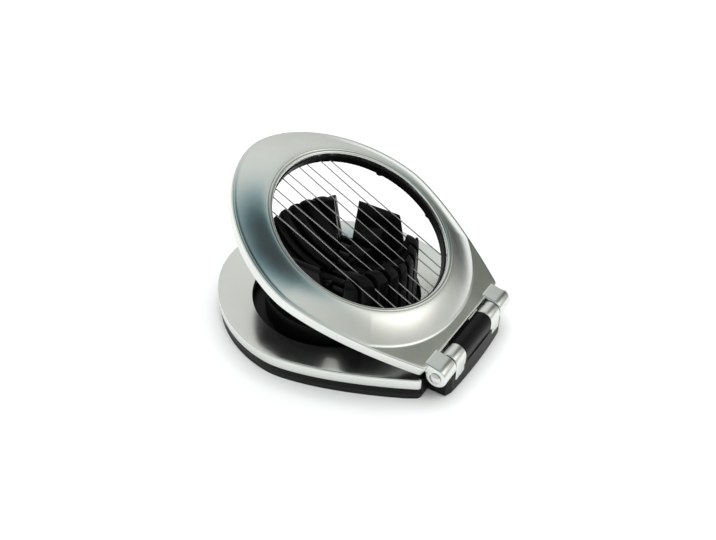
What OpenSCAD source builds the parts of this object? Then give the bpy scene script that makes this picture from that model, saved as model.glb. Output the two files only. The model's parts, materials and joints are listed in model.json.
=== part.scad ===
// Wire egg slicer: a satin die-cast lid strung with one cutting wire, hinged
// over a die-cast base plate that stands on a black moulded tray. A slotted
// cradle rises through the middle and holds the egg while the wire comes down.
//
// Units are millimetres and +Z is up. The origin is on the resting surface at
// the middle of the footprint. The hinge is at +X and the lifting tip at -X.
// The modules measure X from the widest point of the body, under the middle of
// the cradle, and in_frame() moves them to the origin.

/* [Body] */
// width of the body at its widest point
body_w = 92.6; // [78:0.2:112]
// distance from the widest point to the front tip
nose_len = 50.6; // [42:0.2:61]
// distance from the widest point to the hinge axis
hinge_x = 56; // [47:0.2:67]
// height of the hinge axis above the resting surface
hinge_z = 11.25; // [11:0.05:13.5]
// narrowest width of the ring between the lid edge and its window
ring_w = 11.8; // [10:0.1:14]

/* [Lid] */
// angle of the lid above closed in the drawn pose
open_angle = 27.1; // [0:0.1:105]
// height of the side wall of the lid
lid_wall_h = 4.2; // [3.8:0.1:5]
// rise of the domed ring from its outer edge to the window
dome_rise = 4.3; // [3.6:0.1:5.2]
// thickness of the die-cast shells
cast_t = 1.9; // [1.5:0.1:2.2]

/* [Wire] */
// number of strands the one wire is laced into
strands = 9; // [5:2:9]
// diameter of the cutting wire
wire_d = 0.45; // [0.35:0.05:0.55]
// height of the wire above the hinge axis when the lid is closed
wire_rise = 2.1; // [1.9:0.1:2.3]

/* [Base] */
// fall of the plate from its outer edge to the hole
dish_drop = 2.2; // [1.4:0.1:2.6]
// height of the edge wall of the base plate
plate_wall_h = 4.3; // [3.8:0.1:4.5]
// height of the rubber foot ring
foot_h = 2.2; // [1.8:0.1:2.4]
// step of the tray and the foot inside the plate outline
tray_inset = 0.5; // [0.3:0.1:1]

/* [Cradle] */
// gap between the cradle and the window of the closed lid
cradle_gap = 5; // [4.6:0.1:7]
// height of the fin tops above the resting surface
cradle_top = 34.8; // [30:0.1:42]
// radius of the rounded shoulder on top of the fins
shoulder_r = 4; // [2.5:0.1:4.8]
// width of the slots the strands pass through
slot_w = 1.6; // [1.5:0.1:1.9]
// width of the first and the last fin
end_fin_w = 3; // [2.5:0.1:4]
// width of the floor of the narrow groove
groove_w = 4.3; // [4:0.1:6]
// turn of the narrow groove away from the hinge direction
groove_turn = 27; // [20:1:30]
// width of the floor of the wide groove that crosses it
wide_groove_w = 8.4; // [6:0.1:9]
// turn of the wide groove the other way
wide_groove_turn = 42; // [38:1:48]
// lean of each side of the grooves
groove_lean = 8; // [5:0.5:10]

/* [Hinge] */
// outer radius of the lid ears
ear_r = 4; // [3.8:0.05:4.1]
// length of a lid ear along the pin
ear_w = 8.4; // [7:0.1:9.5]
// length of a base knuckle along the pin
knuckle_w = 7.1; // [6:0.1:7.4]
// radius of the hinge pin
pin_r = 1.5; // [1.2:0.05:1.8]

/* [Fits] */
// radial clearance of the lid ears on the pin
run_fit = 0.05; // [0.02:0.01:0.1]
// radial clearance of round pieces that stay still on each other
still_fit = 0.03; // [0.02:0.01:0.05]
// gap between neighbouring castings and mouldings
seat_gap = 0.1; // [0.05:0.01:0.15]

/* [Hidden] */

// drawing
fine = 96;
small = 32;
satin = [0.72, 0.74, 0.73];
black = [0.05, 0.05, 0.05];
rubber = [0.09, 0.09, 0.09];
steel = [0.8, 0.8, 0.8];

// outline
half_w = body_w / 2;
rear_x = hinge_x - 4.4;
rear_half_w = 0.611 * half_w;
nose_power = 1.83;
rear_power = 1.54;
corner = 1.6;

// heights, with the lid closed
lid_low = hinge_z - 1.85;
lid_edge = lid_low + lid_wall_h;
rim_top = lid_edge + dome_rise;
wire_z = hinge_z + wire_rise;
plate_edge = lid_low - seat_gap;
plate_low = plate_edge - plate_wall_h;
hole_edge = plate_edge - dish_drop;
tray_top = plate_low - seat_gap;
floor_low = 0.7;
floor_top = 2.5;
pad_top = 4.1;

// round openings
window_x = 1;
window_r = min(half_w, nose_len + window_x, rear_x - window_x) - ring_w;
hole_x = -1.7;
hole_r = window_r - 1.7;
crease_r = window_r + 12;

// wire carrier and clamp ring
wire_gap = 0.05;
lip_t = 1.5;
carrier_r = window_r - 0.4;
carrier_out = window_r + 5.6;
carrier_low = wire_z - 0.4;
under_r = window_r + 2.2;
side_share = (carrier_out - under_r) / (ring_w - 1.2 - cast_t - 2.2);
carrier_top = rim_top - 2 - seat_gap;
carrier_edge = lid_edge + dome_rise * (1 - pow(side_share, 1.5)) - cast_t - 2.5 * seat_gap;
channel_z = wire_z + wire_d / 2 + wire_gap;
clamp_top = wire_z - wire_d / 2 - wire_gap;
clamp_low = clamp_top - 1.3;

// lacing
pitch = 1.16 * window_r / (strands - 1);
turn_r = pitch / 2 - 0.65;
peg_r = turn_r - wire_d / 2 - wire_gap;
peg_ring = carrier_r + 2.9;
join = 0.4;
join_a = join / 4 / turn_r * 180 / PI;
sleeve_r = 0.65;
sleeve_len = 2.5;

// cradle
cradle_r = window_r - cradle_gap;
slot_floor = wire_z - wire_d / 2 - 1;
bowl_r = 0.73 * cradle_r;
bowl_half_len = cradle_r;
bowl_z = wire_z + 2.9 + bowl_r;
groove_z = wire_z + 1.95;
cavity_top = slot_floor - 2.4;
fin_edge = 0.58 * window_r + slot_w / 2 + end_fin_w;

// hinge
ear_out = rear_half_w - 2.1;
ear_in = ear_out - ear_w;
knuckle_r = ear_r - 0.1;
knuckle_out = ear_in - 0.5;
knuckle_in = knuckle_out - knuckle_w;
washer_t = 0.4;
tail_half_w = ear_in + 4.1;
tail_back = hinge_x + 4.2;
head_dome = 0.9;
pin_head_r = pin_r + 0.6;

// screws
screw_r = 1.1;
head_r = 2;
head_h = 1.3;
boss_r = 2.3;
pad_r = 3.6;
carrier_screw_a = [70, 110, 250, 290];
carrier_screw_r = window_r + 3.5;
cradle_screw_a = [40, 140, 220, 320];
cradle_screw_r = cradle_r - 7;
plate_screw_a = [60, 118, 180, 242, 300];
plate_screw_r = hole_r + 5;

// half of the outline, from the middle of the rear edge to the front tip
function rear_half(x) = half_w - (half_w - rear_half_w) * pow(x / rear_x, rear_power);
function nose_point(a) = [-nose_len * pow(sin(a), 2 / nose_power), half_w * pow(cos(a), 2 / nose_power)];
half_outline = concat(
    [for (k = [0:5]) [rear_x, (rear_half_w - corner) * (k + 0.5) / 5.5]],
    [[rear_x - 0.15, rear_half_w - corner * 0.5], [rear_x - 0.7, rear_half_w]],
    [for (k = [1:15]) let (x = (rear_x - 0.7) * (1 - k / 15)) [x, rear_half(x)]],
    [for (k = [1:21]) nose_point(90 * k / 21)]);
last = len(half_outline) - 1;
outline = concat(half_outline, [for (k = [last - 1:-1:0]) [half_outline[k][0], -half_outline[k][1]]]);

// reach and direction of a point seen from a centre on the X axis
function reach(p, cx) = norm([p[0] - cx, p[1]]);
function aim(p, cx) = [p[0] - cx, p[1]] / reach(p, cx);
function inset(d) = [for (p = outline) p - d * aim(p, hole_x)];

// closed ring whose section at every outline point is a loop of [radius, height]
module ring_loft(cx, loops) {
    n = len(loops);
    m = len(loops[0]);
    pts = [for (i = [0:n - 1]) let (u = aim(outline[i], cx)) for (q = loops[i]) [cx + q[0] * u[0], q[0] * u[1], q[1]]];
    faces = [for (i = [0:n - 1]) for (j = [0:m - 1])
        let (a = i * m + j, b = i * m + (j + 1) % m, c = ((i + 1) % n) * m + (j + 1) % m, d = ((i + 1) % n) * m + j)
        each [[a, c, b], [a, d, c]]];
    polyhedron(points = pts, faces = faces, convexity = 8);
}

// height of the domed ring at a share s of the way from the window to its foot
function dome(s) = lid_edge + dome_rise * (1 - pow(s, 1.5));

// section of the lid: window lip, dome, flat web, edge wall, underside
function lid_loop(p) = let (
    rho = reach(p, window_x),
    foot = p[0] < 0 ? rho - 1.2 : min(rho - 1.2, crease_r + 1.5 * abs(p[1]) / half_w),
    top_r = window_r + 1.5)
    concat(
        [[window_r, rim_top - 2], [window_r, rim_top - 0.9], [window_r + 0.3, rim_top - 0.25], [window_r + 0.9, rim_top]],
        [for (s = [0, 0.15, 0.3, 0.45, 0.6, 0.72, 0.82, 0.91, 1]) [top_r + s * (foot - top_r), dome(s)]],
        [[rho - 0.7, lid_edge - 0.03], [rho - 0.2, lid_edge - 0.25], [rho, lid_edge - 0.8], [rho, lid_low + 0.3]],
        [[rho - 0.3, lid_low], [rho - cast_t, lid_low], [rho - cast_t - 0.15, lid_edge - cast_t - 0.1]],
        [for (s = [0.94, 0.72, 0.5, 0.25, 0]) [under_r + s * (foot - cast_t - under_r), dome(s) - cast_t]]);

// section of the base plate: hole edge, dished top, edge wall, underside
function plate_loop(p) = let (
    rho = reach(p, hole_x),
    span = rho - 1.6 - hole_r)
    concat(
        [[hole_r, hole_edge - cast_t], [hole_r, hole_edge - 0.3], [hole_r + 0.3, hole_edge]],
        [for (s = [0.12, 0.3, 0.5, 0.7, 0.86]) [hole_r + s * span, plate_edge - dish_drop * pow(1 - s, 1.4)]],
        [[rho - 1.2, plate_edge], [rho - 0.45, plate_edge - 0.12], [rho - 0.1, plate_edge - 0.5], [rho, plate_edge - 1]],
        [[rho, plate_low + 0.3], [rho - 0.2, plate_low], [rho - cast_t, plate_low]],
        [[rho - cast_t - 0.1, plate_edge - cast_t - 0.2], [hole_r + 0.5 * span, plate_edge - dish_drop * 0.38 - cast_t]]);

// outline of the tail behind the hinge, with a slightly bowed rear edge
tail_outline = concat(
    [[rear_x - 1.3, -tail_half_w]],
    [for (k = [-8:8]) let (t = k / 8)
        [tail_back - 1.1 * t * t - (abs(k) == 8 ? 0.8 : 0), tail_half_w * t]],
    [[rear_x - 1.3, tail_half_w]]);

// centre and radius of the turn that strand i makes with strand j, on the rear
// side (1) or the front side (-1); a strand with no partner ends at an anchor
function strand_y(i) = (i - (strands - 1) / 2) * pitch;
function peg_mid(i, j) = (strand_y(i) + strand_y(j)) / 2;
function turn(i, j, side) = (j < 0 || j >= strands)
    ? [side * (sqrt(pow(carrier_r + lip_t, 2) - pow(strand_y(i), 2)) + sleeve_len + 0.5), strand_y(i), 0]
    : [side * sqrt(peg_ring * peg_ring - pow(peg_mid(i, j), 2)), peg_mid(i, j), turn_r];
function rear_turn(i) = turn(i, i % 2 == 0 ? i + 1 : i - 1, 1);
function front_turn(i) = turn(i, i % 2 == 0 ? i - 1 : i + 1, -1);

// lean of a strand that runs straight between its two turns, tangent to both
function lean(i) = let (r = rear_turn(i), f = front_turn(i), dx = r[0] - f[0], dy = abs(r[1] - f[1]))
    atan2(dy, dx) - asin((r[2] + f[2]) / norm([dx, dy]));
function hand(i) = i % 2 == 0 ? 1 : -1;
function side_step(i) = let (a = hand(i) * lean(i)) hand(i) * [-sin(a), cos(a)];
function rear_end(i) = let (r = rear_turn(i)) [r[0], r[1]] - r[2] * side_step(i);
function front_end(i) = let (f = front_turn(i)) [f[0], f[1]] + f[2] * side_step(i);

// moves a piece from the widest point of the body to the middle of the footprint
module in_frame() {
    translate([(nose_len - tail_back) / 2, 0, 0])
        children();
}

// turns a piece drawn with the lid closed into the drawn pose
module on_lid() {
    translate([hinge_x, 0, hinge_z])
        rotate([0, open_angle, 0])
            translate([-hinge_x, 0, -hinge_z])
                children();
}

// cylinder along the hinge axis between two distances from the middle
module along_axis(r, y0, y1) {
    translate([hinge_x, y1, hinge_z])
        rotate([90, 0, 0])
            cylinder(r = r, h = y1 - y0, $fn = 48);
}

// places children at angles on a circle round a centre on the X axis
module on_circle(cx, r, angles) {
    for (a = angles)
        translate([cx + r * cos(a), r * sin(a), 0])
            children();
}

// lays children, drawn along +X from the origin, on strand i
module on_strand(i) {
    f = front_end(i);
    v = rear_end(i) - f;
    translate([window_x + f[0], f[1], wire_z])
        rotate([0, 0, atan2(v[1], v[0])])
            children();
}

// puts children at every peg, with +X pointing away from the window; $low and
// $high are the leans of the strands that meet the turn below and above
module on_pegs() {
    for (i = [0:strands - 2])
        let (t = turn(i, i + 1, hand(i)), $low = hand(i) > 0 ? lean(i) : lean(i + 1),
             $high = hand(i) > 0 ? lean(i + 1) : lean(i))
            translate([window_x + t[0], t[1], 0])
                rotate([0, 0, hand(i) > 0 ? 0 : 180])
                    children();
}

// puts children, drawn along +X, where the sleeves grip the two ends of the wire
module on_anchors() {
    d = join / 2 + 0.1;
    on_strand(0)
        translate([d, 0, 0])
            children();
    on_strand(strands - 1)
        translate([norm(rear_end(strands - 1) - front_end(strands - 1)) - d - sleeve_len, 0, 0])
            children();
}

// pan-head screw pointing up, with its head under seat_z and its end at tip_z
module pan_screw(seat_z, tip_z) {
    translate([0, 0, seat_z - head_h])
        difference() {
            union() {
                cylinder(r = head_r, h = head_h, $fn = small);
                cylinder(r = screw_r, h = tip_z - seat_z + head_h, $fn = small);
            }
            for (a = [0, 90])
                rotate([0, 0, a])
                    translate([-head_r * 0.6, -0.25, -1])
                        cube([head_r * 1.2, 0.5, 1.6]);
        }
}

module lid_frame() {
    color(satin)
    on_lid()
    difference() {
        union() {
            ring_loft(window_x, [for (p = outline) lid_loop(p)]);
            for (y0 = [-ear_out, ear_in]) {
                along_axis(ear_r, y0, y0 + ear_w);
                translate([hinge_x - 6.4, y0, hinge_z - 1.1])
                    cube([6.4, ear_w, 4.3]);
            }
            on_circle(window_x, carrier_screw_r, carrier_screw_a)
                translate([0, 0, channel_z])
                    cylinder(r = boss_r, h = rim_top - 2 - channel_z, $fn = small);
        }
        along_axis(pin_r + run_fit, -ear_out - 1, ear_out + 1);
        on_circle(window_x, carrier_screw_r, carrier_screw_a)
            translate([0, 0, channel_z - 1])
                cylinder(r = screw_r + still_fit, h = 3, $fn = small);
    }
}

module wire_carrier() {
    color(black)
    on_lid()
    difference() {
        translate([window_x, 0, 0])
            rotate_extrude($fn = fine)
                polygon([
                    [carrier_r, carrier_low], [carrier_r + lip_t, carrier_low],
                    [carrier_r + lip_t, channel_z], [carrier_out, channel_z],
                    [carrier_out, carrier_edge], [under_r, carrier_top], [carrier_r, carrier_top]]);
        for (i = [0:strands - 1])
            on_strand(i)
                translate([0, -wire_d / 2 - 0.08, carrier_low - wire_z - 1])
                    cube([norm(rear_end(i) - front_end(i)), wire_d + 0.16, channel_z - carrier_low + 1]);
        on_circle(window_x, carrier_screw_r, carrier_screw_a)
            translate([0, 0, channel_z - 1])
                cylinder(r = boss_r + still_fit, h = carrier_top - channel_z + 2, $fn = small);
        on_anchors()
            translate([-0.4, 0, 0])
                rotate([0, 90, 0])
                    cylinder(r = sleeve_r + 0.1, h = sleeve_len + 0.6, $fn = small);
    }
    color(black)
    on_lid()
    on_pegs()
        translate([0, 0, clamp_low + 0.3])
            cylinder(r = peg_r, h = channel_z - clamp_low - 0.3, $fn = small);
}

module wire_clamp_ring() {
    color(black)
    on_lid()
    difference() {
        translate([window_x, 0, clamp_low])
            difference() {
                cylinder(r = carrier_out, h = clamp_top - clamp_low, $fn = fine);
                translate([0, 0, -1])
                    cylinder(r = carrier_r + lip_t + 0.2, h = clamp_top - clamp_low + 2, $fn = fine);
            }
        on_pegs()
            translate([0, 0, clamp_low - 1])
                cylinder(r = peg_r + 0.1, h = clamp_top - clamp_low + 2, $fn = small);
        on_circle(window_x, carrier_screw_r, carrier_screw_a)
            translate([0, 0, clamp_low - 1])
                cylinder(r = screw_r + 0.1, h = clamp_top - clamp_low + 2, $fn = small);
        on_anchors()
            translate([-0.4, 0, 0])
                rotate([0, 90, 0])
                    cylinder(r = sleeve_r + 0.1, h = sleeve_len + 0.6, $fn = small);
    }
}

module cutting_wire() {
    color(steel)
    on_lid() {
        for (i = [0:strands - 1])
            on_strand(i) {
                h = norm(rear_end(i) - front_end(i));
                translate([join / 4, 0, 0])
                    rotate([0, 90, 0])
                        cylinder(d = wire_d, h = h - join / 2, $fn = small);
                // short collars that join the strand to its turns
                for (x = [0, h])
                    translate([x - join / 2, 0, 0])
                        rotate([0, 90, 0])
                            cylinder(d = wire_d * 1.12, h = join, $fn = small);
            }
        on_pegs()
            translate([0, 0, wire_z])
                rotate([0, 0, -90 + $low + join_a])
                    rotate_extrude(angle = 180 - $low - $high - 2 * join_a, $fn = 64)
                        translate([turn_r, 0])
                            circle(d = wire_d, $fn = small);
    }
}

module wire_end_sleeves() {
    color(steel)
    on_lid()
    on_anchors()
        rotate([0, 90, 0])
            difference() {
                cylinder(r = sleeve_r, h = sleeve_len, $fn = small);
                translate([0, 0, -1])
                    cylinder(d = wire_d + 0.02, h = sleeve_len + 2, $fn = small);
            }
}

module carrier_screws() {
    color(steel)
    on_lid()
    on_circle(window_x, carrier_screw_r, carrier_screw_a)
        pan_screw(clamp_low, channel_z + 1.8);
}

module hinge_pin() {
    color(steel) {
        along_axis(pin_r, -ear_out - 0.2, ear_out + 1.3);
        dome_r = (pin_head_r * pin_head_r + head_dome * head_dome) / (2 * head_dome);
        translate([hinge_x, -ear_out - 0.1, hinge_z])
            rotate([90, 0, 0])
                intersection() {
                    cylinder(r = pin_head_r, h = head_dome + 1, $fn = small);
                    translate([0, 0, head_dome - dome_r + 0.3])
                        sphere(r = dome_r, $fn = 64);
                }
    }
}

module pin_cap() {
    color(steel)
    translate([hinge_x, ear_out + 0.1, hinge_z])
        rotate([-90, 0, 0])
            difference() {
                cylinder(r = pin_head_r + 0.2, h = 1.9, $fn = small);
                translate([0, 0, -1])
                    cylinder(r = pin_r + still_fit, h = 2.3, $fn = small);
            }
}

module hinge_washers() {
    color(black)
    difference() {
        for (y0 = [-ear_in + (ear_in - knuckle_out - washer_t) / 2, knuckle_out + (ear_in - knuckle_out - washer_t) / 2])
            along_axis(ear_r - 0.5, y0, y0 + washer_t);
        along_axis(pin_r + run_fit, -ear_out, ear_out);
    }
}

module base_plate() {
    color(satin)
    difference() {
        union() {
            difference() {
                ring_loft(hole_x, [for (p = outline) plate_loop(p)]);
                translate([rear_x - 1.4, -rear_half_w + 1, plate_low - 1])
                    cube([5, 2 * rear_half_w - 2, plate_wall_h + 2]);
            }
            for (y0 = [-knuckle_out, knuckle_in]) {
                along_axis(knuckle_r, y0, y0 + knuckle_w);
                translate([rear_x - 3.6, y0, plate_low])
                    cube([4.4, knuckle_w, plate_edge - plate_low - 0.2]);
                translate([hinge_x - knuckle_r, y0, plate_low])
                    cube([knuckle_r, knuckle_w, hinge_z - plate_low]);
            }
            on_circle(hole_x, plate_screw_r, plate_screw_a)
                translate([0, 0, pad_top + seat_gap])
                    cylinder(r = boss_r, h = hole_edge - 0.3 - pad_top - seat_gap, $fn = small);
        }
        along_axis(pin_r + still_fit, -ear_out, ear_out);
        on_circle(hole_x, plate_screw_r, plate_screw_a)
            cylinder(r = screw_r + still_fit, h = hole_edge - 0.6, $fn = small);
    }
}

module base_tray() {
    color(black)
    difference() {
        union() {
            difference() {
                union() {
                    translate([0, 0, foot_h])
                        linear_extrude(tray_top - foot_h)
                            polygon(inset(tray_inset));
                    translate([0, 0, floor_low])
                        linear_extrude(2)
                            polygon(inset(tray_inset + 4.4));
                }
                translate([0, 0, foot_h + 1.6])
                    linear_extrude(10)
                        polygon(inset(tray_inset + 2));
                translate([0, 0, floor_top])
                    linear_extrude(10)
                        polygon(inset(tray_inset + 6.5));
            }
            on_circle(0, cradle_screw_r, cradle_screw_a)
                translate([0, 0, floor_low])
                    cylinder(r = pad_r, h = pad_top - floor_low, $fn = small);
            on_circle(hole_x, plate_screw_r, plate_screw_a)
                translate([0, 0, floor_low])
                    cylinder(r = pad_r, h = pad_top - floor_low, $fn = small);
            // rear wall and tail block that carry the middle of the hinge pin
            translate([rear_x - 1.3, -rear_half_w + 1.1, foot_h])
                cube([1.3, 2 * rear_half_w - 2.2, plate_edge - 0.3 - foot_h]);
            translate([0, 0, 0.4])
                linear_extrude(hinge_z - 3.4)
                    polygon(tail_outline);
            along_axis(knuckle_r - 0.1, -knuckle_in + 0.2, knuckle_in - 0.2);
            translate([hinge_x - knuckle_r + 0.1, -knuckle_in + 0.2, foot_h])
                cube([2 * knuckle_r - 0.2, 2 * knuckle_in - 0.4, hinge_z - foot_h]);
        }
        // reliefs for the ears, the knuckles and their arms
        for (y0 = [-ear_out - 1, ear_in - 0.4])
            along_axis(ear_r + 0.5, y0, y0 + ear_w + 1.4);
        for (y0 = [-knuckle_out - 0.2, knuckle_in - 0.2]) {
            along_axis(knuckle_r + 0.4, y0, y0 + knuckle_w + 0.4);
            translate([rear_x - 6, y0, plate_low - seat_gap])
                cube([10.4, knuckle_w + 0.4, 10]);
        }
        along_axis(pin_r + still_fit, -ear_out, ear_out);
        on_circle(0, cradle_screw_r, cradle_screw_a)
            screw_hole();
        on_circle(hole_x, plate_screw_r, plate_screw_a)
            screw_hole();
    }
}

// clearance hole through a tray pad with a recess for the head
module screw_hole() {
    cylinder(r = screw_r + 0.1, h = 10, $fn = small);
    cylinder(r = head_r + 0.2, h = floor_top - 0.2, $fn = small);
}

module foot_ring() {
    color(rubber)
    difference() {
        linear_extrude(foot_h - 0.02)
            polygon(inset(tray_inset));
        translate([0, 0, -1])
            linear_extrude(foot_h + 2)
                polygon(inset(tray_inset + 4.3));
        translate([rear_x - 1.5, -tail_half_w - 0.2, -1])
            cube([10, 2 * tail_half_w + 0.4, foot_h + 2]);
        // clear of the pads of the plate's screws
        on_circle(hole_x, plate_screw_r, plate_screw_a)
            translate([0, 0, -1])
                cylinder(r = pad_r + seat_gap, h = foot_h + 2, $fn = small);
    }
}

module egg_cradle() {
    color(black)
    difference() {
        union() {
            difference() {
                rotate_extrude($fn = fine)
                    union() {
                        translate([0, floor_top])
                            square([cradle_r, cradle_top - shoulder_r - floor_top]);
                        square_top();
                    }
                translate([0, 0, floor_top - 1])
                    cylinder(r = cradle_r - 2, h = cavity_top - floor_top + 1, $fn = fine);
            }
            on_circle(0, cradle_screw_r, cradle_screw_a)
                translate([0, 0, pad_top + seat_gap])
                    cylinder(r = boss_r + 0.6, h = cavity_top - pad_top, $fn = small);
        }
        bowl();
        groove(groove_w, groove_turn, groove_z);
        groove(wide_groove_w, -wide_groove_turn, groove_z + 0.3);
        for (y0 = [-fin_edge - cradle_r, fin_edge])
            translate([-cradle_r - 5, y0, slot_floor])
                cube([2 * cradle_r + 10, cradle_r, cradle_top]);
        for (i = [0:strands - 1])
            translate([-cradle_r - 5, strand_y(i) - slot_w / 2, slot_floor])
                cube([2 * cradle_r + 10, slot_w, cradle_top]);
        on_circle(0, cradle_screw_r, cradle_screw_a)
            cylinder(r = screw_r + still_fit, h = cavity_top + 0.6, $fn = small);
    }
}

// upper part of the cradle profile with its rounded shoulder
module square_top() {
    translate([0, cradle_top - shoulder_r - 1])
        square([cradle_r - shoulder_r, shoulder_r + 1]);
    intersection() {
        translate([cradle_r - shoulder_r, cradle_top - shoulder_r])
            circle(r = shoulder_r, $fn = 64);
        translate([cradle_r - shoulder_r, cradle_top - shoulder_r])
            square([shoulder_r, shoulder_r]);
    }
}

// hollow for an egg lying along X, opened upward where the cradle is taller
module bowl() {
    c = (bowl_half_len * bowl_half_len - bowl_r * bowl_r) / (2 * bowl_r);
    translate([0, 0, bowl_z])
        rotate([0, 90, 0])
            rotate_extrude($fn = fine)
                intersection() {
                    translate([-c, 0])
                        circle(r = bowl_r + c, $fn = 128);
                    translate([0, -bowl_half_len - 1])
                        square([bowl_r + 1, 2 * bowl_half_len + 2]);
                }
    if (cradle_top > bowl_z)
        translate([0, 0, bowl_z])
            linear_extrude(cradle_top)
                intersection() {
                    translate([0, -c])
                        circle(r = bowl_r + c, $fn = 128);
                    translate([0, c])
                        circle(r = bowl_r + c, $fn = 128);
                }
}

// groove with leaning sides that lets the ends of the egg and a finger through
module groove(floor_w, turned, floor_z) {
    h = cradle_top - floor_z + 1;
    w = floor_w / 2;
    rotate([0, 0, turned])
        translate([0, cradle_r + 5, floor_z])
            rotate([90, 0, 0])
                linear_extrude(2 * cradle_r + 10)
                    polygon([[-w, 0], [w, 0], [w + h * tan(groove_lean), h], [-w - h * tan(groove_lean), h]]);
}

module cradle_screws() {
    color(steel)
    on_circle(0, cradle_screw_r, cradle_screw_a)
        pan_screw(floor_top - 0.2, cavity_top - 0.4);
}

module plate_screws() {
    color(steel)
    on_circle(hole_x, plate_screw_r, plate_screw_a)
        pan_screw(floor_top - 0.2, hole_edge - 0.8);
}

in_frame() lid_frame();
in_frame() wire_carrier();
in_frame() wire_clamp_ring();
in_frame() cutting_wire();
in_frame() wire_end_sleeves();
in_frame() carrier_screws();
in_frame() hinge_pin();
in_frame() pin_cap();
in_frame() hinge_washers();
in_frame() base_plate();
in_frame() base_tray();
in_frame() foot_ring();
in_frame() egg_cradle();
in_frame() cradle_screws();
in_frame() plate_screws();
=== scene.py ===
# %% [markdown]
# # A wire egg slicer, one piece at a time
# The real tool is two light-metal castings on a hinge. The upper one, the lid,
# is strung with one steel wire. The lower one sits on a black moulded tray and a
# rubber foot, and a slotted black cradle stands in its middle. The CAD frame
# already holds every part in its place, so this lesson starts from it and gives
# a smoother, finer skin to the parts that an eye rests on.

# %% Load the frame
import json
import math

import bpy
import numpy as np
from mathutils import Matrix, Vector


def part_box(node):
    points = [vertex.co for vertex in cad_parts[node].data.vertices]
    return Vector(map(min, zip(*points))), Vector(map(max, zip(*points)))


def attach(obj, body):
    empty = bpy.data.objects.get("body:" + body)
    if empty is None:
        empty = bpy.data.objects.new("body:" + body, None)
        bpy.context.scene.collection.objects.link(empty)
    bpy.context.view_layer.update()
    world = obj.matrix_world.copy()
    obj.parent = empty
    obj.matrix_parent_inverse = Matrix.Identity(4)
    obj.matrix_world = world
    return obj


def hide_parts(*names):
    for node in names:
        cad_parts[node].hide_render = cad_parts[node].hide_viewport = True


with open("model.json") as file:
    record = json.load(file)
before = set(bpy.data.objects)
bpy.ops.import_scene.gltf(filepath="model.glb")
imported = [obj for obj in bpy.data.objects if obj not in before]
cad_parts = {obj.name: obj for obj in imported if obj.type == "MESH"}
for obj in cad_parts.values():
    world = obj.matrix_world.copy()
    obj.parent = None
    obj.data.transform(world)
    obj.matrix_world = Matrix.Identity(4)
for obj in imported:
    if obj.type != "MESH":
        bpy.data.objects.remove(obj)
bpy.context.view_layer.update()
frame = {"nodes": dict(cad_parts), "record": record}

# %% [markdown]
# ## The maker's measures
# A die caster draws such a tool round two centres: the widest point of the body
# and the hinge. Lengths here are in millimetres in those axes: x from the widest
# point towards the hinge, y along the hinge, z up from the table. The hinge and
# the closing angle are read from the frame's joint, and the boxes of the frame's
# nodes give the rest, so a piece can't drift away from its solid.

# %% Measures read from the frame
MM = 0.001
joint = next(j for j in frame["record"]["behaviour"]["joints"] if j["name"] == "lid_hinge")
HINGE = np.array(joint["pos_m"]) / MM
OPEN = math.radians(-joint["range_deg"][0])


def node_box(name):
    """Lowest and highest corner of a frame node, in millimetres."""
    low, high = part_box(name)
    return np.array(low) / MM, np.array(high) / MM


plate_lo, plate_hi = node_box("base_plate")
cradle_lo, cradle_hi = node_box("egg_cradle")
pin_lo, pin_hi = node_box("hinge_pin")
cradle_r = (cradle_hi[1] - cradle_lo[1]) / 2
WIDEST = (cradle_lo[0] + cradle_hi[0]) / 2
hinge_x = HINGE[0] - WIDEST
hinge_z = HINGE[2]
half_w = plate_hi[1]
nose_len = WIDEST - plate_lo[0]
print("widest point at", round(WIDEST, 2), "hinge", HINGE, "half width", round(half_w, 2))
print("nose", round(nose_len, 2), "cradle radius", round(cradle_r, 2))

# %% [markdown]
# ## Putting a surface into a mesh
# Every new piece is a grid of points worked out at once with numpy. Going round
# the grid gives its four-sided faces, and the enclosed volume says whether they
# point outwards: a negative one means that the skin is inside out, and the faces
# are turned round.

# %% Grids and volumes
def grid_faces(n, m, around=True, closed=True):
    """Corner numbers of the quads of an n by m grid of points. around joins the
    last row to the first, and closed joins the last column to the first."""
    i, j = np.meshgrid(np.arange(n if around else n - 1),
                       np.arange(m if closed else m - 1), indexing="ij")
    i2, j2 = (i + 1) % n, (j + 1) % m
    return np.stack([i * m + j, i2 * m + j, i2 * m + j2, i * m + j2], -1).reshape(-1, 4)


def enclosed_volume(points, quads, caps):
    """Sum over the faces of the signed volumes of the pyramids from the origin."""
    def fan(a, b, c):
        return np.einsum("ij,ij->", points[a], np.cross(points[b], points[c])) / 6
    total = fan(quads[:, 0], quads[:, 1], quads[:, 2]) + fan(quads[:, 0], quads[:, 2], quads[:, 3])
    for cap in caps:
        total += fan(np.full(len(cap) - 2, cap[0]), cap[1:-1], cap[2:])
    return total


# %% [markdown]
# A piece is often several closed shells in one mesh, such as a ring and its
# hinge ears. A small class collects the shells, and one call at the end turns
# them into an object that rides on its body. The lid is drawn closed, as its
# maker would draw it, and turned about the hinge as it enters the mesh, so the
# finished object itself stays at the origin, unturned and unscaled.

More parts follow.
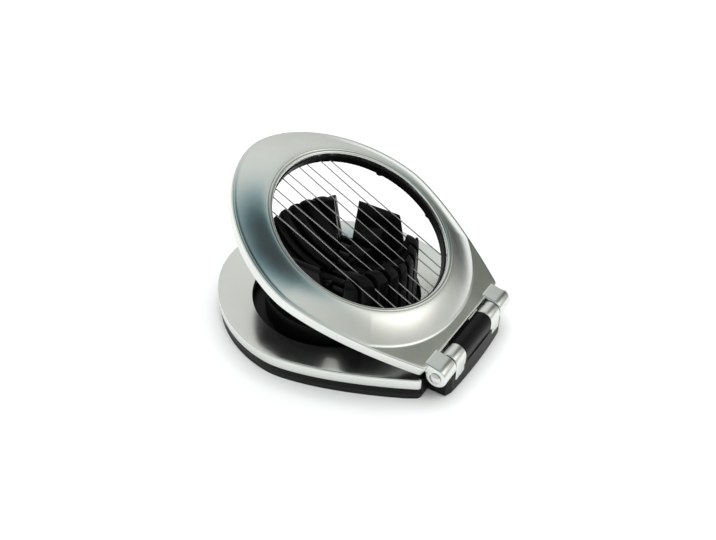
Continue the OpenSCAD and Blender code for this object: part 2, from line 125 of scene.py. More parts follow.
# %% Skins
class Skin:
    """Collects closed shells, each a grid of points in the maker's millimetres."""

    def __init__(self):
        self.points, self.faces, self.count = [], [], 0

    def add(self, grid, around=True, closed=True, ends=False):
        """grid is an (n, m, 3) array. ends closes the first and last row with a flat
        cap, for a shell whose rows are loops (closed) that travel along a path."""
        n, m = grid.shape[:2]
        flat = grid.reshape(-1, 3)
        quads = grid_faces(n, m, around, closed)
        # a cap runs against the quads' own edges along its row
        caps = [np.arange(m), (n - 1) * m + np.arange(m)[::-1]] if ends else []
        if enclosed_volume(flat, quads, caps) < 0:
            quads = quads[:, ::-1]
            caps = [c[::-1] for c in caps]
        self.faces += (quads + self.count).tolist() + [(c + self.count).tolist() for c in caps]
        self.points.append(flat)
        self.count += len(flat)
        return self

    def piece(self, name, body, slot, material, replaces=(), lid=False, sharp=35):
        """Makes the object: the maker's millimetres become metres in the frame, turned
        about the hinge by the opening angle if the piece belongs to the lid."""
        p = np.concatenate(self.points) + [WIDEST, 0, 0]
        if lid:
            d = p - HINGE
            c, s = math.cos(OPEN), math.sin(OPEN)
            turned = [c * d[:, 0] + s * d[:, 2], d[:, 1], -s * d[:, 0] + c * d[:, 2]]
            p = HINGE + np.stack(turned, -1)
        mesh = bpy.data.meshes.new(name)
        mesh.from_pydata((p * MM).tolist(), [], self.faces)
        mesh.shade_smooth()
        mesh.set_sharp_from_angle(angle=math.radians(sharp))
        obj = bpy.data.objects.new(name, mesh)
        bpy.context.scene.collection.objects.link(obj)
        mesh.materials.append(material)
        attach(obj, body)
        if replaces:
            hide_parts(*replaces)
        print(f"{name}: {len(p)} points, {len(self.faces)} faces")
        return obj


# %% [markdown]
# ## Profiles and corners
# No cast or moulded part has a true sharp corner. A profile is first drawn with
# straight lines, then walked at even steps and averaged with its neighbours,
# which rounds every corner by about the width of the average and leaves the
# straight runs and the long curves where they were.

# %% Softened profiles
OVERSAMPLE = 8


def even_loop(corners, count, soften=0.0):
    """Closed polyline resampled at even steps along its length, then averaged with
    its neighbours under a bell curve of the given width in millimetres."""
    p = np.asarray(corners, float)
    p = np.vstack([p, p[:1]])
    run = np.concatenate([[0], np.cumsum(np.hypot(*np.diff(p, axis=0).T))])
    fine = OVERSAMPLE * count
    t = np.linspace(0, run[-1], fine, endpoint=False)
    q = np.stack([np.interp(t, run, p[:, k]) for k in (0, 1)], -1)
    if soften:
        k = np.fft.fftfreq(fine, d=run[-1] / fine)
        bell = np.exp(-2 * (math.pi * k * soften) ** 2)
        q = np.real(np.fft.ifft(np.fft.fft(q, axis=0) * bell[:, None], axis=0))
    return q[::OVERSAMPLE]


def arc(r, a0, a1, n):
    """Points on a circle of radius r about the origin, angles in degrees."""
    a = np.radians(np.linspace(a0, a1, n))
    return np.stack([r * np.cos(a), r * np.sin(a)], -1)


# %% [markdown]
# ## The egg outline
# Lid, plate, tray and foot share one outline. Its front is a superellipse, a
# curve a little squarer than an ellipse, and its sides draw in towards the hinge
# by a power of the distance, down to a straight rear edge. Walking it at even
# steps keeps the faces of every ring the same size, which keeps the sheen calm.

# %% Outline
rear_x = hinge_x - 4.4
rear_half_w = 0.611 * half_w
SIDE_POWER, NOSE_POWER = 1.54, 1.83


def egg_outline(count):
    """Closed outline: a straight rear edge, sides that fall from half_w by
    (x / rear_x) to the side power, and a front of half_w cos^p, nose_len sin^p
    with p = 2 / the nose power."""
    x = np.linspace(rear_x, 0, 400)
    side = np.stack([x, half_w - (half_w - rear_half_w) * (x / rear_x) ** SIDE_POWER], -1)
    a = np.linspace(0, math.pi / 2, 600)[1:]
    power = 2 / NOSE_POWER
    nose = np.stack([-nose_len * np.sin(a) ** power, half_w * np.cos(a).clip(0) ** power], -1)
    half = np.vstack([[[rear_x, 0]], side, nose])
    return even_loop(np.vstack([half, half[-2:0:-1] * [1, -1]]), count, 0.75)


EGG = egg_outline(480)
print("outline x", EGG[:, 0].min().round(2), EGG[:, 0].max().round(2), "y", EGG[:, 1].max().round(2))

# %% [markdown]
# A ring casting is easiest to think of as spokes. From a centre on the middle
# line, each outline point lies at some distance in some direction, and the
# section of the casting is laid out along that spoke.

# %% Spokes and rings
def spoke(centre_x):
    """Distance and direction of every outline point seen from a centre on the x axis."""
    d = EGG - [centre_x, 0]
    rho = np.hypot(*d.T)
    return rho, d / rho[:, None]


def ring(centre_x, radius, height):
    """Grid of a ring whose section at every outline point is a row of radii and heights."""
    _, u = spoke(centre_x)
    radius, height = np.broadcast_arrays(radius, height)
    return np.stack([centre_x + radius * u[:, :1], radius * u[:, 1:], height], -1)


def side_by_side(parts):
    """Joins the (radii, heights) pairs of a section into one array of each."""
    heights = [np.broadcast_to(h, r.shape) for r, h in parts]
    return np.hstack([r for r, _ in parts]), np.hstack(heights)


# %% [markdown]
# ## Finishes
# Two effects are shared by the metals and the plastics, so each is built once as
# a node group with named inputs. The first is the fine tooth that blasting or a
# mould's texture leaves.

# %% Tooth group
def new_group(name, inputs, outputs):
    """Empty shader group with typed sockets; inputs carry their default values."""
    g = bpy.data.node_groups.new(name, "ShaderNodeTree")
    for label, value in inputs:
        s = g.interface.new_socket(name=label, in_out="INPUT", socket_type="NodeSocketFloat")
        s.default_value = value
    for label, kind in outputs:
        g.interface.new_socket(name=label, in_out="OUTPUT", socket_type=kind)
    return g, g.nodes.new("NodeGroupInput"), g.nodes.new("NodeGroupOutput")


def scaled_noise(g, size, detail):
    """Noise on Object coordinates whose feature size comes from a group socket:
    the noise's scale is one divided by that size."""
    co = g.nodes.new("ShaderNodeTexCoord")
    inv = g.nodes.new("ShaderNodeMath")
    inv.operation = "DIVIDE"
    inv.inputs[0].default_value = 1.0
    noise = g.nodes.new("ShaderNodeTexNoise")
    noise.inputs["Detail"].default_value = detail
    g.links.new(size, inv.inputs[1])
    g.links.new(co.outputs["Object"], noise.inputs["Vector"])
    g.links.new(inv.outputs[0], noise.inputs["Scale"])
    return noise


def make_tooth_group():
    """Tooth: a fine noise taken as a height, and the same pattern as a mask."""
    g, gi, go = new_group("surface_tooth", [
        ("Grain size", 0.00025), ("Depth", 0.00001), ("Strength", 0.3)],
        [("Normal", "NodeSocketVector"), ("Mask", "NodeSocketFloat")])
    noise = scaled_noise(g, gi.outputs["Grain size"], 2.0)
    bump = g.nodes.new("ShaderNodeBump")
    g.links.new(noise.outputs["Fac"], bump.inputs["Height"])
    g.links.new(gi.outputs["Depth"], bump.inputs["Distance"])
    g.links.new(gi.outputs["Strength"], bump.inputs["Strength"])
    g.links.new(bump.outputs["Normal"], go.inputs["Normal"])
    g.links.new(noise.outputs["Fac"], go.inputs["Mask"])
    return g


TOOTH = make_tooth_group()

# %% [markdown]
# The second effect is handling: faint smears that change how sharp a reflection
# is and shift the colour a little. A slow noise drives both, so a smear that is
# duller is also a touch lighter or darker, as grease on a casting is.

# %% Handling group
def make_handling_group():
    """Handling: slow smears that move a roughness between two values, and a tone
    from nought to one for the colour."""
    g, gi, go = new_group("handling_smears", [
        ("Smear size", 0.02), ("Low roughness", 0.25), ("High roughness", 0.35)],
        [("Roughness", "NodeSocketFloat"), ("Tone", "NodeSocketFloat")])
    noise = scaled_noise(g, gi.outputs["Smear size"], 5.0)
    noise.inputs["Roughness"].default_value = 0.62
    ramp = g.nodes.new("ShaderNodeMapRange")
    tone = g.nodes.new("ShaderNodeMapRange")
    for node, low, high in ((ramp, 0.35, 0.68), (tone, 0.3, 0.7)):
        node.inputs["From Min"].default_value = low
        node.inputs["From Max"].default_value = high
        g.links.new(noise.outputs["Fac"], node.inputs["Value"])
    g.links.new(gi.outputs["Low roughness"], ramp.inputs["To Min"])
    g.links.new(gi.outputs["High roughness"], ramp.inputs["To Max"])
    g.links.new(ramp.outputs["Result"], go.inputs["Roughness"])
    g.links.new(tone.outputs["Result"], go.inputs["Tone"])
    return g


SMEARS = make_handling_group()

# %% [markdown]
# ## Materials
# Each finish is a Principled surface fed by the shared groups with its own
# numbers. Constant values sit on the shader's own sockets. The castings are a
# fine blasted satin, the cradle and tray a dull black moulding, the foot a
# duller rubber, and the wire and pin bright steel.

# %% Material maker
def finish(name, dark, light, metallic, rough, grain, depth, tooth, smear=0.02, **sockets):
    """A Principled material. dark and light are the two ends of a faint colour
    change, rough the two ends of the roughness, grain and depth the size of the
    tooth in metres, tooth its strength and smear the size of the smears."""
    m = bpy.data.materials.new(name)
    m.use_nodes = True
    n, l = m.node_tree.nodes, m.node_tree.links
    shader = n["Principled BSDF"]
    shader.inputs["Metallic"].default_value = metallic
    for key, value in sockets.items():
        shader.inputs[key.replace("_", " ")].default_value = value
    smears, teeth = n.new("ShaderNodeGroup"), n.new("ShaderNodeGroup")
    smears.node_tree, teeth.node_tree = SMEARS, TOOTH
    for node, values in (
            (smears, {"Smear size": smear, "Low roughness": rough[0], "High roughness": rough[1]}),
            (teeth, {"Grain size": grain, "Depth": depth, "Strength": tooth})):
        for key, value in values.items():
            node.inputs[key].default_value = value
    ramp = n.new("ShaderNodeValToRGB")
    ramp.color_ramp.elements[0].color = (*dark, 1)
    ramp.color_ramp.elements[1].color = (*light, 1)
    l.new(smears.outputs["Tone"], ramp.inputs["Fac"])
    l.new(ramp.outputs["Color"], shader.inputs["Base Color"])
    l.new(smears.outputs["Roughness"], shader.inputs["Roughness"])
    l.new(teeth.outputs["Normal"], shader.inputs["Normal"])
    return m


# %% [markdown]
# The blacks stay very dark and reflect little, because a textured black moulding
# scatters the room. The wire's steel is given a darker colour than the pin's.

# %% The six finishes
satin_casting = finish(
    "satin_casting", dark=(0.70, 0.71, 0.69), light=(0.77, 0.775, 0.755), metallic=1.0,
    rough=(0.20, 0.26), grain=0.0003, depth=0.000006, tooth=0.15)
black_moulding = finish(
    "black_moulding", dark=(0.0022, 0.0022, 0.0023), light=(0.004, 0.004, 0.0041), metallic=0.0,
    rough=(0.34, 0.46), grain=0.0005, depth=0.00002, tooth=0.25, Specular_IOR_Level=0.14)
black_rubber = finish(
    "black_rubber", dark=(0.005, 0.005, 0.0049), light=(0.009, 0.009, 0.0088), metallic=0.0,
    rough=(0.6, 0.75), grain=0.0004, depth=0.00003, tooth=0.5, Specular_IOR_Level=0.3)
black_washer = finish(
    "black_washer", dark=(0.006, 0.006, 0.006), light=(0.012, 0.012, 0.012), metallic=0.0,
    rough=(0.45, 0.6), grain=0.0003, depth=0.00001, tooth=0.3)
wire_steel = finish(
    "wire_steel", dark=(0.33, 0.33, 0.32), light=(0.44, 0.44, 0.43), metallic=1.0,
    rough=(0.2, 0.3), grain=0.0002, depth=0.000004, tooth=0.2, smear=0.006)
bright_steel = finish(
    "bright_steel", dark=(0.62, 0.62, 0.61), light=(0.72, 0.72, 0.71), metallic=1.0,
    rough=(0.16, 0.24), grain=0.0002, depth=0.000004, tooth=0.2, smear=0.006)

# %% [markdown]
# Every solid of the frame gets its finish, even the three that finer skins will
# stand for, so nothing is left plain.

# %% Finishes on the frame's nodes
NODES_OF = (
    (satin_casting, ("lid_frame", "base_plate")),
    (black_moulding, ("wire_carrier", "wire_clamp_ring", "base_tray", "egg_cradle")),
    (black_rubber, ("foot_ring",)),
    (black_washer, ("hinge_washers",)),
    (wire_steel, ("cutting_wire",)),
    (bright_steel, ("wire_end_sleeves", "carrier_screws", "hinge_pin", "pin_cap",
                    "cradle_screws", "plate_screws")))
for material, names in NODES_OF:
    for name in names:
        mesh = frame["nodes"][name].data
        mesh.materials.clear()
        mesh.materials.append(material)
print("finished nodes:", sum(len(names) for _, names in NODES_OF))

# %% [markdown]
# ## The lid casting
# The lid is a ring that domes up from its edge wall to a round window, and runs
# out at the back into a flat web with two hinge ears. It could be modelled by
# hand as a subdivision cage, but its section is simple, so it is carried round
# the outline instead: window lip, dome, crease, web, rounded edge and the thin
# underside, one row of points for every step round the egg.

# %% Lid measures
lid_low = hinge_z - 1.85
lid_edge = lid_low + 4.2
dome_rise, cast_t = 4.3, 1.9
rim_top = lid_edge + dome_rise
window_x = 1.0
window_r = min(half_w, nose_len + window_x, rear_x - window_x) - 11.8
under_r = window_r + 2.2
crease_r = window_r + 12
EDGE_R = 0.75
DOME_POWER = 1.5


def smooth_max(a, b, k):
    """Largest of two heights with the corner between them filled by a fillet of size k."""
    h = np.clip(0.5 + 0.5 * (a - b) / k, 0, 1)
    return b + (a - b) * h + k * h * (1 - h)


def edge_round(rho, top):
    """Quarter circle that turns a flat top at height top down into a wall at rho."""
    e = np.radians(np.linspace(90, 0, 8))[None, 1:]
    return rho - EDGE_R + EDGE_R * np.cos(e), top - EDGE_R + EDGE_R * np.sin(e)


# %% [markdown]
# The top is one fall from the rim to the web, of the form one minus the share of
# the way to a power. Where it meets the flat web, a small fillet leaves the soft
# crease that curves across the real lid. A fine turned line runs outside the lip.

# %% Lid section
def lid_section():
    """Radii and heights of the lid's section for every spoke from the window's centre:
    the dome falls by dome_rise times (1 - share^1.5) from the rim to its foot."""
    rho = spoke(window_x)[0][:, None]
    x, y = EGG[:, :1], EGG[:, 1:]
    curved = np.minimum(rho - 1.2, crease_r + 1.5 * abs(y) / half_w)
    foot = np.where(x < 0, rho - 1.2, curved)
    top_r = window_r + 1.5
    one = np.ones_like(rho)
    lip_a = np.radians(np.linspace(0, 90, 8))
    parts = [(one * window_r, rim_top - 2), (one * window_r, rim_top - 1.4),
             (one * (window_r + 0.9 - 0.9 * np.cos(lip_a)), rim_top - 0.9 + 0.9 * np.sin(lip_a))]
    # the radii crowd together at the crease, where the surface turns fastest
    end = rho - EDGE_R
    start = one * (top_r + 1.2)
    before, after = np.minimum(foot - 1.4, end - 2.0), np.minimum(foot + 1.4, end - 0.02)

    def grow(p, q, n):
        return p + (q - p) * np.linspace(0, 1, n + 1)[None, :-1]

    r = np.hstack([grow(one * (window_r + 1.0), start, 14), grow(start, before, 30),
                   grow(before, after, 14), grow(after, end, 6), end])
    fall = dome_rise * (1 - ((r - top_r) / (foot - top_r)).clip(0) ** DOME_POWER)
    turned_line = 0.14 * np.exp(-((r - top_r - 0.1) / 0.16) ** 2)
    parts.append((r, lid_edge + smooth_max(fall, 0 * fall, 0.35) - turned_line))
    # rounded edge, wall, lower edge and underside
    parts += [edge_round(rho, lid_edge), (rho, lid_low + 1.5), (rho, lid_low + 0.35)]
    e = np.radians(np.linspace(0, -90, 5))[None, 1:]
    parts.append((rho - 0.35 + 0.35 * np.cos(e), lid_low + 0.35 + 0.35 * np.sin(e)))
    parts += [(rho - cast_t + 0.2, lid_low), (rho - cast_t, lid_low + 0.2),
              (rho - cast_t - 0.15, lid_edge - cast_t - 0.1)]
    s = np.array([0.94, 0.82, 0.66, 0.5, 0.35, 0.2, 0.08, 0])[None]
    parts.append((under_r + s * (foot - cast_t - under_r),
                  lid_edge + dome_rise * (1 - s ** DOME_POWER) - cast_t))
    return side_by_side(parts)


radius, height = lid_section()
lid_skin = Skin().add(ring(window_x, radius, height))
print("lid section has", radius.shape[1], "points, radii", radius.min().round(2), "to",
      radius.max().round(2))

# %% [markdown]
# ## Hinge ears
# An ear is a barrel with a short arm that runs into the web, bored for the pin.
# Seen along the pin, its outline goes once round the hinge, so the whole ear is
# a grid too: one way round the hinge, the other way round its thickness, from
# the bore out over a rounded edge, across, and back to the bore.

# %% Bored barrels
ear_r, ear_w = 4.0, 8.4
ear_out = rear_half_w - 2.1
ear_in = ear_out - ear_w
pin_r = (pin_hi[2] - pin_lo[2]) / 2 - 0.6


def star_outline(corners, angles):
    """Distance from the origin to a closed outline in each direction, for an outline
    that every ray from the origin leaves once."""
    p = np.asarray(corners)
    a = np.unwrap(np.arctan2(p[:, 1], p[:, 0]))
    if a[-1] < a[0]:
        p, a = p[::-1], a[::-1]
    a = np.concatenate([a - 2 * math.pi, a, a + 2 * math.pi])
    return np.interp(angles, a, np.tile(np.hypot(*p.T), 3))


def barrel(outline, y0, y1, bore, edge=0.45, count=160):
    """Bored barrel along y: a closed section of bore, rounded edge and face, carried
    round the hinge at the distance that the outline gives."""
    a = np.linspace(-math.pi, math.pi, count, endpoint=False)
    r = star_outline(outline, a)[:, None]
    t = np.radians(np.linspace(0, 90, 6))[None]
    rr = np.hstack([0 * r + bore, r - edge + edge * np.sin(t), r - edge + edge * np.cos(t),
                    0 * r + bore])
    yy = np.concatenate([[y0], y0 + edge - edge * np.cos(t[0]),
                         y1 - edge + edge * np.sin(t[0]), [y1]])[None]
    ca, sa = np.cos(a)[:, None], np.sin(a)[:, None]
    return np.stack([hinge_x + rr * ca, np.broadcast_to(yy, rr.shape), hinge_z + rr * sa], -1)


# %% [markdown]
# The ear's outline is a circle with a straight line that leaves it at a tangent
# and lands on the web, so the top of the ear runs smoothly into the lid.

# %% Ears
web_top, arm_low, arm_back = lid_edge - hinge_z, -1.1, -6.4
arm_angle = math.degrees(math.atan2(web_top, arm_back))
tangent = arm_angle - math.degrees(math.acos(ear_r / math.hypot(arm_back, web_top)))
arc_end = math.degrees(math.asin(-arm_low / ear_r)) - 180
ear_outline = even_loop(np.vstack([
    arc(ear_r, tangent, arc_end, 90), [[arm_back, arm_low], [arm_back, web_top]]]), 400, 0.25)
for y0 in (-ear_out, ear_in):
    lid_skin.add(barrel(ear_outline, y0, y0 + ear_w, pin_r + 0.05))
print("ear leaves its circle at", round(tangent, 1), "degrees")

# %% [markdown]
# ## Screw posts
# Under both castings stand short bored posts, which take the screws that hold
# the wire carrier and the tray. They show from below and when the lid is open. A
# post is a small closed section carried round its own centre.

# %% Posts under the lid
wire_z = hinge_z + 2.1
SCREW_BORE = 1.13


def posts(centre_x, circle_r, angles, low, high, outer=2.3):
    """Bored posts on a circle, one grid each: a closed section of bore, wall and
    chamfers between two heights, carried round the post's own centre."""
    t = np.linspace(0, 2 * math.pi, 40, endpoint=False)[:, None]
    r = np.array([[SCREW_BORE, outer - 0.2, outer, outer, outer - 0.2, SCREW_BORE]])
    z = np.array([[low, low, low + 0.2, high - 0.2, high, high]]) + 0 * t
    centres = [(centre_x + circle_r * math.cos(a), circle_r * math.sin(a))
               for a in np.radians(angles)]
    return [np.stack([cx + r * np.cos(t), cy + r * np.sin(t), z], -1) for cx, cy in centres]


lid_posts = posts(window_x, window_r + 3.5, (70, 110, 250, 290), wire_z + 0.275, rim_top - 2)
for post in lid_posts:
    lid_skin.add(post)
lid_skin.piece("lid_casting", "lid", "satin_casting", satin_casting, ["lid_frame"], lid=True)

# %% [markdown]
# ## The base plate
# The lower casting dishes gently from a crisp outer edge down to a round hole
# for the cradle. It is the same kind of ring as the lid, seen from its own
# centre, with knuckles between the lid's ears.

# %% Plate section
plate_edge = lid_low - 0.1
plate_low = plate_edge - 4.3
dish_drop = 2.2
hole_edge = plate_edge - dish_drop
hole_x = -1.7
hole_r = window_r - 1.7
HOLE_ROUND = 0.35


def plate_section():
    """Radii and heights of the plate's section for every spoke from the hole's centre:
    the dish falls by dish_drop times (1 - share)^1.4 from the outer edge."""
    rho = spoke(hole_x)[0][:, None]
    one = np.ones_like(rho)
    span = rho - 1.6 - hole_r
    e = np.radians(np.linspace(0, 90, 6))[None]
    parts = [(one * hole_r, hole_edge - cast_t),
             (hole_r + HOLE_ROUND - HOLE_ROUND * np.cos(e) + 0 * rho,
              hole_edge - HOLE_ROUND + HOLE_ROUND * np.sin(e))]
    s = np.linspace(0, 1, 40)[None, 1:]
    parts.append((hole_r + HOLE_ROUND + s * (rho - EDGE_R - hole_r - HOLE_ROUND),
                  plate_edge - dish_drop * (1 - s) ** 1.4))
    parts += [edge_round(rho, plate_edge), (rho, plate_low + 1.5), (rho, plate_low + 0.35),
              (rho - 0.1, plate_low + 0.1), (rho - 0.35, plate_low),
              (rho - cast_t + 0.2, plate_low), (rho - cast_t, plate_low + 0.2),
              (rho - cast_t - 0.1, plate_edge - cast_t - 0.2),
              (hole_r + 0.5 * span, plate_edge - dish_drop * 0.38 - cast_t)]
    return side_by_side(parts)


radius, height = plate_section()
plate_grid = ring(hole_x, radius, height)
# between the knuckles the tray's own wall closes the rear, so the plate stops short
open_rear = abs(plate_grid[..., 1]) < rear_half_w - 1
plate_grid[..., 0] = np.where(
    open_rear, np.minimum(plate_grid[..., 0], rear_x - 1.4), plate_grid[..., 0])
plate_skin = Skin().add(plate_grid)
print("plate section has", radius.shape[1], "points")

# %% [markdown]
# A knuckle is a barrel like the ear, but its outline runs straight down to the
# plate's lower edge, and a short bar ties it to the plate's rear wall.

# %% Knuckles, ties and posts
knuckle_w = 7.1
knuckle_out = ear_in - 0.5
knuckle_in = knuckle_out - knuckle_w
knuckle_r = ear_r - 0.1
knuckle_outline = even_loop(np.vstack([
    arc(knuckle_r, 180, 0, 60),
    [[knuckle_r, plate_low - hinge_z], [-knuckle_r, plate_low - hinge_z]]]), 400, 0.2)


def bar(low, high, edge=0.3, count=64):
    """Rounded bar between two corners: its x-z section is a softened rectangle,
    carried from the low y to the high y."""
    section = even_loop([(low[0], low[2]), (high[0], low[2]), (high[0], high[2]),
                         (low[0], high[2])], count, edge)
    x, y, z = np.broadcast_arrays(section[:, 0], np.array([[low[1]], [high[1]]]), section[:, 1])
    return np.stack([x, y, z], -1)


for y0 in (-knuckle_out, knuckle_in):
    plate_skin.add(barrel(knuckle_outline, y0, y0 + knuckle_w, pin_r + 0.03, 0.35))
    tie = bar((rear_x - 3.6, y0, plate_low), (rear_x + 0.8, y0 + knuckle_w, plate_edge - 0.2))
    plate_skin.add(tie, ends=True, around=False)
for post in posts(hole_x, hole_r + 5, (60, 118, 180, 242, 300), 4.2, hole_edge - 0.3):
    plate_skin.add(post)
plate_skin.piece("plate_casting", "base", "satin_casting", satin_casting, ["base_plate"])

# %% [markdown]
# ## The egg cradle
# The cradle is a moulded drum with a hollow for an egg, cut by nine slots for
# the wires and by two crossing grooves, one narrow and one wide. What is left
# between the slots stands up as fins. The top is a height over the plan: the
# lowest of the shoulder, the hollow and the grooves, joined by small fillets.

# %% Cradle measures
cradle_top = cradle_hi[2]
slot_floor = wire_z - 0.45 / 2 - 1
shoulder_r = 4.0
bowl_r, bowl_half_len = 0.73 * cradle_r, cradle_r
bowl_z = wire_z + 2.9 + bowl_r
groove_z, groove_lean = wire_z + 1.95, math.radians(8)
GROOVES = [(4.3 / 2, math.radians(27)), (8.4 / 2, math.radians(-42))]
pitch, slot_w = 1.16 * window_r / 8, 1.6
END_FIN_W = 3
FAR_ABOVE = 60


def smooth_min(a, b, k):
    """Lowest of two heights with the corner between them rounded by size k."""
    return -smooth_max(-a, -b, k)


def cradle_height(x, y):
    """Height of the cradle over a point: the lowest of the rounded shoulder, the
    egg's hollow (an arc turned about x) and the grooves' leaning walls."""
    r = np.hypot(x, y)
    d = (r - (cradle_r - shoulder_r)).clip(0, shoulder_r)
    shoulder = cradle_top - shoulder_r + np.sqrt((shoulder_r ** 2 - d ** 2).clip(0))
    c = (bowl_half_len ** 2 - bowl_r ** 2) / (2 * bowl_r)
    across = np.sqrt(((bowl_r + c) ** 2 - x ** 2).clip(0)) - c
    inside = across ** 2 - y ** 2
    hollow = (across > 0) & (inside > 0) & (abs(x) < bowl_half_len)
    bowl = np.where(hollow, bowl_z - np.sqrt(inside.clip(0)), FAR_ABOVE)
    z = smooth_min(shoulder, np.minimum(bowl, FAR_ABOVE), 0.5)
    for half, turned in GROOVES:
        w = abs(x * math.cos(turned) + y * math.sin(turned)) - half
        wall = np.clip(groove_z + w / math.tan(groove_lean), groove_z, FAR_ABOVE)
        z = smooth_min(z, wall, 0.4)
    return z


# %% [markdown]
# Each fin is one grid. Its top edges are crowned, as a mould leaves them, and its
# steps are spaced along its own profile, so the steep walls of the grooves get
# as many points as the level runs. The rows then drop to the slot floor.

# %% Fins
def fin(y0, y1, low, along=420, edge=1.3):
    """One fin between two slots. Columns cross the fin, rows go along it at even
    steps of its own profile, and each row drops to the slot floor on both sides.
    The crown lowers the edges by edge times (1 - sqrt(1 - g^2)), g from 0 to 1."""
    fillet = edge * (1 - np.cos(np.radians(np.linspace(0, 78, 8))))
    width = y1 - y0
    offs = np.concatenate([fillet, np.linspace(edge, width - edge, 4), width - fillet[::-1]])
    ys = y0 + offs
    reach = np.sqrt((cradle_r ** 2 - ys ** 2).clip(0.01))
    q = np.linspace(-1, 1, 3001)
    x = q[:, None] * reach[None] * 0.99999
    g = (1 - np.minimum(offs, width - offs)[None] / edge).clip(0, 1)
    z = cradle_height(x, ys[None]) - edge * (1 - np.sqrt((1 - g ** 2).clip(0)))
    z = np.maximum(z, low + 0.05)
    steps = np.hypot(np.diff(x, axis=0), np.diff(z, axis=0))
    run = np.vstack([0 * ys, np.cumsum(steps, axis=0)])
    run = run / run[-1]
    want = np.linspace(0, 1, along)
    xs, zs = (np.stack([np.interp(want, run[:, k], values[:, k]) for k in range(len(ys))], -1)
              for values in (x, z))
    yy = np.broadcast_to(ys, xs.shape)
    top = np.stack([xs, yy, zs], -1)
    bottom = np.stack([xs, yy, 0 * zs + low], -1)
    return np.concatenate([top, bottom[:, ::-1]], 1)


cradle_skin = Skin()
slots = (np.arange(9) - 4) * pitch
fin_edge = slots[-1] + slot_w / 2 + END_FIN_W
slot_sides = np.repeat(slots, 2) + np.tile([-slot_w / 2, slot_w / 2], 9)
edges = np.concatenate([[-fin_edge], slot_sides, [fin_edge]])
for y0, y1 in edges.reshape(-1, 2):
    cradle_skin.add(fin(y0, y1, slot_floor - 0.5), around=False, ends=True)
print("fins:", len(edges) // 2, "pitch", round(pitch, 2))

# %% [markdown]
# Under the fins the drum is a plain hollow turning, so its wall section is
# carried once round. The section starts and ends a hair off the axis.

# %% Drum
turns = np.linspace(0, 2 * math.pi, 192, endpoint=False)[:, None]
cavity_top = slot_floor - 2.4
drum = np.array([
    [0.01, slot_floor], [cradle_r - 0.3, slot_floor], [cradle_r, slot_floor - 0.3],
    [cradle_r, 2.8], [cradle_r - 0.3, 2.5], [cradle_r - 2, 2.5],
    [cradle_r - 2.1, cavity_top], [0.01, cavity_top]])
drum_r, drum_z = drum[None, :, 0], drum[None, :, 1]
cradle_skin.add(np.stack([drum_r * np.cos(turns), drum_r * np.sin(turns), drum_z + 0 * turns], -1))
cradle_skin.piece("cradle_moulding", "base", "black_moulding", black_moulding, ["egg_cradle"],
                  sharp=40)

# %% [markdown]
# ## Table
# The tool stands on a plain pale table. One large quad is enough.

# %% Floor
floor_mesh = bpy.data.meshes.new("table_top")
floor_mesh.from_pydata([(-3, -3, 0), (3, -3, 0), (3, 3, 0), (-3, 3, 0)], [], [(0, 1, 2, 3)])
floor = bpy.data.objects.new("table_top", floor_mesh)
bpy.context.scene.collection.objects.link(floor)
floor_paint = bpy.data.materials.new("pale_table")
floor_paint.use_nodes = True
paint = floor_paint.node_tree.nodes["Principled BSDF"].inputs
paint["Base Color"].default_value = (0.95, 0.95, 0.95, 1)
paint["Roughness"].default_value = 0.9
paint["Specular IOR Level"].default_value = 0.1
floor_mesh.materials.append(floor_paint)

# %% [markdown]
# ## Room
# A satin metal shows its surroundings, so the room is part of the look. Bright
# walls stand round the table up to about sixty degrees, a cool dark ceiling
# closes it above, a dark gap lies beyond the hinge, and a window stands beside
# it. The room is a smooth function of direction, soft in every reflection.

# %% Room helpers
world = bpy.data.worlds.new("studio_room")
bpy.context.scene.world = world
world.use_nodes = True
room = world.node_tree
background = room.nodes["Background"]


def room_math(operation, a, b=None):
    """One Math node; a and b are sockets or numbers."""
    node = room.nodes.new("ShaderNodeMath")
    node.operation = operation
    for k, value in enumerate((a, b)):
        if isinstance(value, (int, float)):
            node.inputs[k].default_value = value
        elif value is not None:
            room.links.new(value, node.inputs[k])
    return node.outputs[0]


def lobe(direction, width):
    """Mask that is one along a direction, given as azimuth and elevation, and falls
    off over width degrees: a bell curve of the angle, written with the dot product
    of two unit vectors."""
    az, el = (math.radians(v) for v in direction)
    dot = room.nodes.new("ShaderNodeVectorMath")
    dot.operation = "DOT_PRODUCT"
    dot.inputs[1].default_value = (
        math.sin(az) * math.cos(el), math.cos(az) * math.cos(el), math.sin(el))
    room.links.new(sight, dot.inputs[0])
    sharp = 1 / (1 - math.cos(math.radians(width)))
    short = room_math("SUBTRACT", dot.outputs["Value"], 1.0)
    return room_math("EXPONENT", room_math("MULTIPLY", short, sharp))


def blend_room(below, mask, colour):
    """Lays a colour over the room so far, as strong as the mask."""
    mix = room.nodes.new("ShaderNodeMixRGB")
    mix.inputs["Color2"].default_value = (*colour, 1)
    room.links.new(mask, mix.inputs["Fac"])
    room.links.new(below, mix.inputs["Color1"])
    return mix.outputs["Color"]


# %% [markdown]
# A colour ramp over height gives floor, walls and ceiling. The height runs from
# nought at the horizon to one overhead. The lobes are then laid over it in turn.

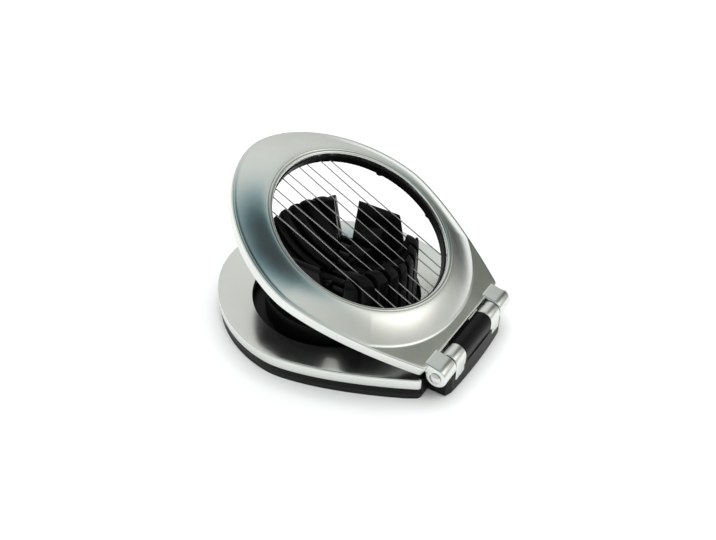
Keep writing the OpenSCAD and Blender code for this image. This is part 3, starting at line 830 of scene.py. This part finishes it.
# %% Walls, ceiling, gap and window
sight = room.nodes.new("ShaderNodeTexCoord").outputs["Generated"]
split = room.nodes.new("ShaderNodeSeparateXYZ")
room.links.new(sight, split.inputs[0])
walls = room.nodes.new("ShaderNodeValToRGB")
ramp = walls.color_ramp
ramp.elements[0].position, ramp.elements[0].color = 0.0, (0.62, 0.63, 0.61, 1)
ramp.elements[1].position, ramp.elements[1].color = 1.0, (0.035, 0.045, 0.05, 1)
for position, tone in ((0.45, (0.78, 0.79, 0.76)), (0.72, (0.84, 0.86, 0.83)),
                       (0.83, (0.80, 0.85, 0.83)), (0.90, (0.26, 0.42, 0.45)),
                       (0.935, (0.06, 0.15, 0.18)), (0.966, (0.03, 0.05, 0.06))):
    ramp.elements.new(position).color = (*tone, 1)
room.links.new(split.outputs["Z"], walls.inputs[0])
LOBES = (((100, 20), 34, (0.50, 0.51, 0.47)),   # a duller wall on the right
         ((18, -6), 16, (0.06, 0.07, 0.06)),    # the gap, from the floor up
         ((17, 14), 15, (0.05, 0.06, 0.06)),
         ((18, 32), 14, (0.08, 0.09, 0.08)),
         ((24, 44), 13, (0.14, 0.16, 0.12)),
         ((57, 34), 12, (2.1, 2.1, 1.95)))      # the window
shade = walls.outputs["Color"]
for direction, width, colour in LOBES:
    shade = blend_room(shade, lobe(direction, width), colour)
room.links.new(shade, background.inputs["Color"])
background.inputs["Strength"].default_value = 1.0

# %% [markdown]
# ## Lamp
# One large soft lamp overhead lifts the table and gives a soft shadow. Metals
# don't show it, because the room already draws their reflections.

# %% Overhead lamp
lamp = bpy.data.lights.new("overhead_box", "AREA")
lamp.shape = "RECTANGLE"
lamp.size = lamp.size_y = 1.4
lamp.energy = 13
overhead = bpy.data.objects.new("overhead_box", lamp)
bpy.context.scene.collection.objects.link(overhead)
overhead.location = (0.0, 0.1, 1.1)
overhead.rotation_mode = "QUATERNION"
overhead.rotation_quaternion = (-overhead.location).to_track_quat("-Z", "Y")
overhead.visible_glossy = False

# %% [markdown]
# ## Camera
# The camera looks down on the tool from the front right, a little over a third
# of a metre away. Its axes are worked out from azimuth, elevation and roll, and
# its place from a point on the middle line in front of the hinge.

# %% Camera
camera_data = bpy.data.cameras.new("camera")
camera = bpy.data.objects.new("camera", camera_data)
bpy.context.scene.collection.objects.link(camera)
bpy.context.scene.camera = camera
azimuth, elevation, roll = (math.radians(v) for v in (31.9057, 37.6456, 0.6643))
back = Vector((math.sin(azimuth) * math.cos(elevation), -math.cos(azimuth) * math.cos(elevation),
               math.sin(elevation)))
right = Vector((math.cos(azimuth), math.sin(azimuth), 0))
up = back.cross(right)
side = math.cos(roll) * right + math.sin(roll) * up
head = -math.sin(roll) * right + math.cos(roll) * up
looked_at = Vector(HINGE * MM) - Vector((0.075, 0, 0))
eye = looked_at + 0.3594232 * back + 0.0228756 * side - 0.0011563 * head
camera.matrix_world = Matrix((
    (side[0], head[0], back[0], eye[0]), (side[1], head[1], back[1], eye[1]),
    (side[2], head[2], back[2], eye[2]), (0, 0, 0, 1)))
camera_data.sensor_width = 36
camera_data.lens = 45.5309
camera_data.clip_start, camera_data.clip_end = 0.01, 20
bpy.context.scene.view_settings.view_transform = "Standard"
print("camera at", [round(v, 3) for v in eye])
